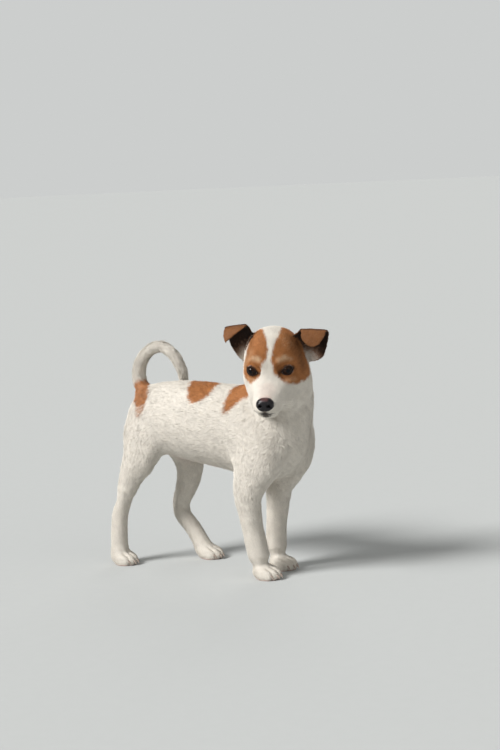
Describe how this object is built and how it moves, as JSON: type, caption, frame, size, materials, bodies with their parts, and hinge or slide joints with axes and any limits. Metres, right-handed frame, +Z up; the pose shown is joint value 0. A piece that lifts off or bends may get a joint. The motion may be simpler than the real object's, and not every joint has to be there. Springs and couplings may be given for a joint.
{
  "type": "dog",
  "caption": "Life-size standing puppy with a short coat, tipped ears, a curled tail and its head turned to its right.",
  "frame": {"origin": "on the floor, under the middle of the puppy's length and width", "axes": "+Z up; the body faces -Y; +X is the puppy's left side"},
  "size_m": [0.1576, 0.3576, 0.3405],
  "materials": {
    "coat": "short plush coat, warm white with tan patches",
    "nose_leather": "moist, finely pebbled",
    "eye": "wet, clear cornea over a dark iris"
  },
  "bodies": {
    "root": {"head": "coat", "lower_jaw": "coat", "nose": "nose_leather", "eye_left": "eye", "eye_right": "eye", "ear_left": "coat", "ear_right": "coat", "neck": "coat", "trunk": "coat", "tail_base": "coat", "tail_curl_back": "coat", "tail_curl_front": "coat", "tail_tip": "coat", "foreleg_left": "coat", "foreleg_right": "coat", "forepaw_left": "coat", "forepaw_right": "coat", "thigh_left": "coat", "thigh_right": "coat", "shank_left": "coat", "shank_right": "coat", "hindpaw_left": "coat", "hindpaw_right": "coat"}
  },
  "joints": []
}
